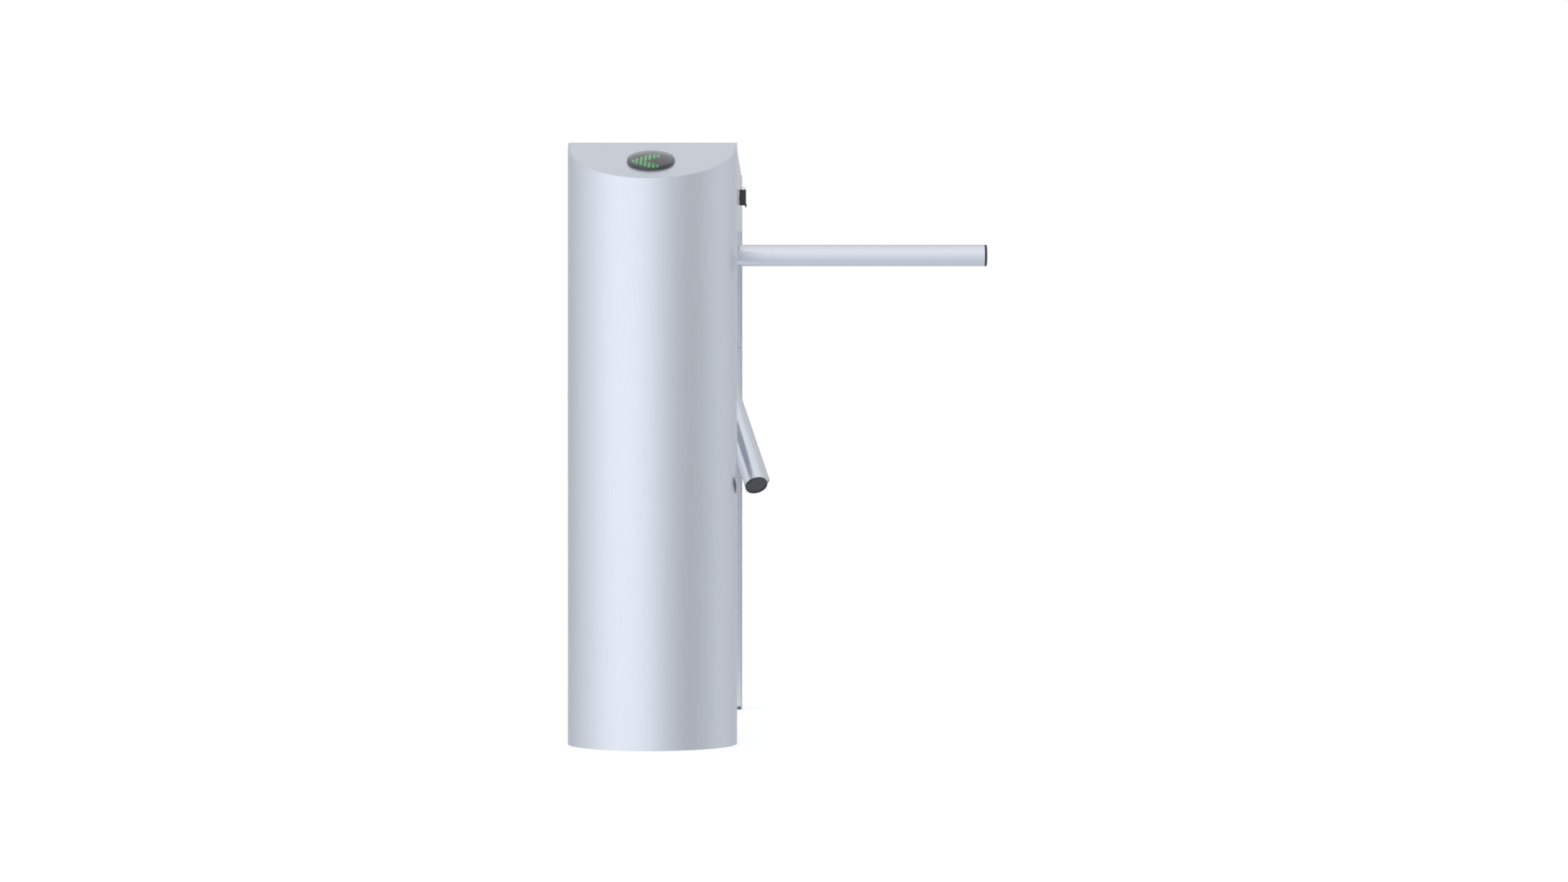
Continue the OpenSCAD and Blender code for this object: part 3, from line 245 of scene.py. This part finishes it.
def plastic(name, colour, rough, grain=2600):
    """Moulded plastic with a fine spark-eroded texture and light scuffs."""
    mat = material(name)
    cloud = mat.noise(24, detail=3, rough=0.5)
    scuffs = mat.noise((90, 420, 160), detail=4, rough=0.7)
    scuffs = mat.spread(scuffs, 0.0, 0.5, from_low=0.56, from_high=0.74)
    tone = mat.mix(mat.spread(cloud, 0.0, 1.0), shade(colour, 0.88), shade(colour, 1.1))
    tone = mat.mix(scuffs, tone, shade(colour, 1.5))
    level = mat.spread(cloud, rough - 0.04, rough + 0.05)
    level = mat.math("ADD", level, mat.math("MULTIPLY", scuffs, 0.15))
    relief = mat.bump(mat.noise(grain, detail=2, rough=0.6), strength=0.5, depth=0.00005, edge=0.0005)
    return mat.finish(mat.principled(Base_Color=tone, Roughness=level, Normal=relief))


def board_look():
    """Green solder mask over copper tracks."""
    mat = material("board_green")
    track = mat.noise((210, 40, 210), detail=0, rough=0.5)
    track = mat.spread(track, 0.0, 1.0, from_low=0.47, from_high=0.53)
    tone = mat.mix(track, rgb(0.012, 0.10, 0.045), rgb(0.022, 0.19, 0.075))
    relief = mat.bump(mat.noise(900, detail=2, rough=0.5), strength=0.3, depth=0.00005, edge=0.0003)
    return mat.finish(mat.principled(Base_Color=tone, Roughness=0.28, Coat_Weight=0.4, Normal=relief))


def lens_look():
    """Thin smoked plastic with a few wiping marks."""
    mat = material("smoked_lens")
    wipe = mat.noise((60, 240, 60), detail=4, rough=0.65)
    tone = mat.mix(mat.spread(wipe, 0.0, 1.0), rgb(0.058, 0.059, 0.064), rgb(0.072, 0.073, 0.079))
    return mat.finish(mat.principled(Base_Color=tone, Roughness=mat.spread(wipe, 0.16, 0.22), IOR=1.58,
                                     Coat_Weight=1.0, Coat_Roughness=0.12, Alpha=0.75,
                                     Normal=mat.bump(wipe, strength=0.1, depth=0.00006)))


def arrow_look():
    """Light bars, a little uneven, as light pipes are."""
    mat = material("arrow_green")
    cell = mat.noise((400, 900, 400), detail=1, rough=0.5)
    tone = mat.mix(mat.spread(cell, 0.0, 1.0), rgb(0.04, 0.46, 0.08), rgb(0.08, 0.66, 0.12))
    return mat.finish(mat.principled(Base_Color=tone, Roughness=0.35, Emission_Color=tone,
                                     Emission_Strength=7.5))


STEEL = (0.70, 0.722, 0.775)
ARM_STEEL = (0.70, 0.72, 0.765)
HUB_STEEL = (0.62, 0.64, 0.69)
ZINC = (0.60, 0.615, 0.64)

# Brushed sheet: waves per metre across the streaks and along them
ACROSS, ALONG = 2600, 22
upright = (ACROSS, ACROSS, ALONG)
along_y = (ACROSS, ALONG, ACROSS)
along_x = (ALONG, ACROSS, ACROSS)

looks = {
    "shell": brushed("satin_upright", STEEL, upright),
    "long": brushed("satin_along_bridge", STEEL, along_y),
    "cross": brushed("satin_across", STEEL, along_x),
    "hub": brushed("turned_hub", HUB_STEEL, 1500, rough=0.30, place=AXIS),
    "zinc": brushed("zinc_plate", ZINC, (60, 60, 60), rough=0.42, vary=0.10, edge=0.0005),
    "ground": brushed("ground_steel", (0.55, 0.56, 0.58), 2600, place=AXIS),
    "bearing": brushed("bearing_steel", (0.66, 0.67, 0.70), 3200, rough=0.14, vary=0.03, place=AXIS),
    "gear": brushed("gear_steel", (0.26, 0.255, 0.245), 1900, rough=0.33, vary=0.12, place=AXIS),
    "brass": brushed("cut_brass", (0.66, 0.50, 0.23), 1800, rough=0.28, vary=0.08, place=AXIS),
    "screw": brushed("screw_steel", (0.60, 0.615, 0.65), (500, 500, 500), rough=0.26, edge=0.0003),
    "hinge": brushed("hinge_steel", (0.62, 0.64, 0.68), (600, 12, 600), rough=0.34, edge=0.0005),
    "lock": brushed("nickel_plate", (0.60, 0.61, 0.635), (300, 300, 300), rough=0.22, edge=0.0004),
    "wire": brushed("ring_wire", (0.52, 0.53, 0.55), (200, 200, 200), rough=0.25, edge=0.0001),
    "case": brushed("case_aluminium", (0.62, 0.63, 0.65), (60, 60, 700), rough=0.4),
    "cast": paint("cast_aluminium", (0.42, 0.43, 0.45), rough=0.42, peel=520, depth=0.0003),
    "frame": paint("powder_coat", (0.24, 0.25, 0.265), rough=0.5, peel=700),
    "coil": paint("coil_enamel", (0.035, 0.07, 0.16), rough=0.3, coat=0.4),
    "motor": paint("motor_enamel", (0.03, 0.032, 0.036), rough=0.33, coat=0.3),
    "black": plastic("black_plastic", (0.028, 0.030, 0.033), rough=0.42),
    "cap": plastic("cap_plastic", (0.052, 0.056, 0.061), rough=0.48),
    "lamp": plastic("lamp_plastic", (0.022, 0.023, 0.025), rough=0.55),
    "board_black": plastic("black_solder_mask", (0.012, 0.013, 0.014), rough=0.35),
    "rubber": plastic("rubber", (0.020, 0.020, 0.021), rough=0.72, grain=1400),
    "board": board_look(),
    "lens": lens_look(),
    "arrow": arrow_look(),
}
# Drawn tube: fine lines along each arm
for arm, angle in ARM_ANGLES.items():
    looks[arm] = brushed("satin_" + arm, ARM_STEEL, (16, 16, 1400), rough=0.22, vary=0.02,
                         depth=0.000008, edge=0.0004, place=arm_frame(angle))

by_look = {
    "shell": ["front_shell", "rear_shell", "service_panels", "end_walls"],
    "long": ["bridge_shell", "lid"],
    "cross": ["front_top_plate", "rear_top_plate"],
    "frame": ["base_plates", "pedestal_frames", "bridge_ends"],
    "rubber": ["cable_grommets", "shaft_seal"],
    "zinc": ["bridge_bolts", "lid_catch", "lock_cam", "mechanism_plate", "housing_screws", "gear_plate",
             "pillar_nuts", "brake_bracket", "hub_bolt", "arm_fastening", "equipment_trays"],
    "screw": ["cover_screws"],
    "hinge": ["lid_hinge_leaves", "body_hinge_leaves", "hinge_pins"],
    "lock": ["lock_barrel", "lock_plug"],
    "black": ["key", "encoder_sensor", "encoder_disc"],
    "wire": ["key_ring"],
    "cast": ["bearing_housing", "damper"],
    "bearing": ["bearing_outer_rings", "bearing_inner_rings", "bearing_balls"],
    "ground": ["main_shaft", "shaft_hardware", "pillars"],
    "gear": ["main_gear", "brake_armature"],
    "coil": ["brake_coil"],
    "motor": ["drive_motor"],
    "brass": ["motor_pinion", "damper_pinion"],
    "hub": ["hub", "hub_nose_cap"],
    "arm_top": ["arm_top"],
    "arm_front": ["arm_front"],
    "arm_rear": ["arm_rear"],
    "cap": ["arm_caps"],
    "lens": ["indicator_lenses"],
    "lamp": ["lamp_housings"],
    "board_black": ["lamp_boards"],
    "arrow": ["arrow_bars"],
    "board": ["control_board"],
    "case": ["power_supply"],
}
dressed = set()
for look, names in by_look.items():
    for name in names:
        data = nodes[name].data
        data.materials.clear()
        data.materials.append(looks[look])
        dressed.add(name)
assert dressed == set(nodes), sorted(set(nodes) ^ dressed)


# Stage: floor and surround

WHITE = rgb(1, 1, 1)
FLOOR_HALF = 40     # metres
FLOOR_CELLS = 8
FLOOR_LIFT = 0.36   # lifts the lit floor to white for the camera, and keeps the shadow


def floor_look():
    """Pale floor that keeps the shadow; metal sees the studio's surround in its place."""
    mat = material("floor")
    path = mat.node("ShaderNodeLightPath")
    cloud = mat.noise(40, detail=3, rough=0.5)
    tone = mat.mix(mat.spread(cloud, 0, 1), rgb(0.86, 0.86, 0.865), rgb(0.88, 0.88, 0.885))
    pale = mat.principled(Base_Color=tone, Roughness=0.9, Specular_IOR_Level=0.0, Emission_Color=WHITE,
                          Emission_Strength=mat.math("MULTIPLY", mat.seen(path), FLOOR_LIFT))
    clear = mat.node("ShaderNodeBsdfTransparent").outputs[0]
    return mat.finish(mat.either(path.outputs["Is Glossy Ray"], pale, clear))


bm = bmesh.new()
bmesh.ops.create_grid(bm, x_segments=FLOOR_CELLS, y_segments=FLOOR_CELLS, size=FLOOR_HALF)
mesh = bpy.data.meshes.new("floor")
bm.to_mesh(mesh)
bm.free()
floor = bpy.data.objects.new("floor", mesh)
scene.collection.objects.link(floor)
floor.data.materials.append(floor_look())

# Level of the surround at the horizon, by azimuth from the camera's side, in degrees to the right
LEVELS = [(-180, 0.64), (-150, 0.56), (-120, 0.76), (-90, 0.94), (-65, 1.14), (-45, 1.21), (-20, 1.18),
          (0, 1.04), (20, 0.80), (45, 0.56), (65, 0.56), (95, 0.76), (120, 0.77), (150, 0.60),
          (180, 0.64)]
TINT = (0.97, 1.0, 1.045)
HALF = 0.5          # all colours of the surround are halved, and its strength doubles them again
SKY_BACK = rgb(0.41, 0.415, 0.43)
SKY_FRONT = rgb(0.53, 0.54, 0.555)
GROUND = rgb(0.375, 0.39, 0.42)
SKY_TURN = 0.72     # how fast the sky turns from back to front
SKY_RISE = 1.15     # how fast the horizon turns into the sky


def studio():
    """Pale graded surround that lights the object; the camera and clear plastic see plain white."""
    sky = Look(bpy.data.worlds.new("studio"), "ShaderNodeOutputWorld")
    split = sky.node("ShaderNodeSeparateXYZ")
    sky.put(split.inputs[0], sky.node("ShaderNodeTexCoord").outputs["Generated"])
    x, y, z = split.outputs
    azimuth = sky.math("ARCTAN2", x, sky.math("MULTIPLY", y, -1.0))
    ramp = sky.node("ShaderNodeValToRGB")
    sky.put(ramp.inputs[0], sky.math("ADD", sky.math("DIVIDE", azimuth, 2 * math.pi), 0.5))
    ramp.color_ramp.interpolation = "B_SPLINE"
    stops = ramp.color_ramp.elements
    while len(stops) > 1:
        stops.remove(stops[-1])
    for i, (angle, level) in enumerate(LEVELS):
        place = (angle + 180) / 360
        stop = stops[0] if i == 0 else stops.new(place)
        stop.position = place
        stop.color = shade(TINT, level * HALF)
    front = sky.math("SUBTRACT", 0.5, sky.math("MULTIPLY", y, SKY_TURN), clamp=True)
    up = sky.math("MULTIPLY", z, SKY_RISE, clamp=True)
    down = sky.math("MULTIPLY", z, -1.0, clamp=True)
    surround = sky.mix(up, ramp.outputs[0], sky.mix(front, SKY_BACK, SKY_FRONT))
    light = sky.background(sky.mix(down, surround, GROUND), 1 / HALF)
    path = sky.node("ShaderNodeLightPath")
    return sky.finish(sky.either(sky.seen(path), light, sky.background(WHITE, 1.0)))


scene.world = studio()
scene.view_settings.view_transform = "Standard"
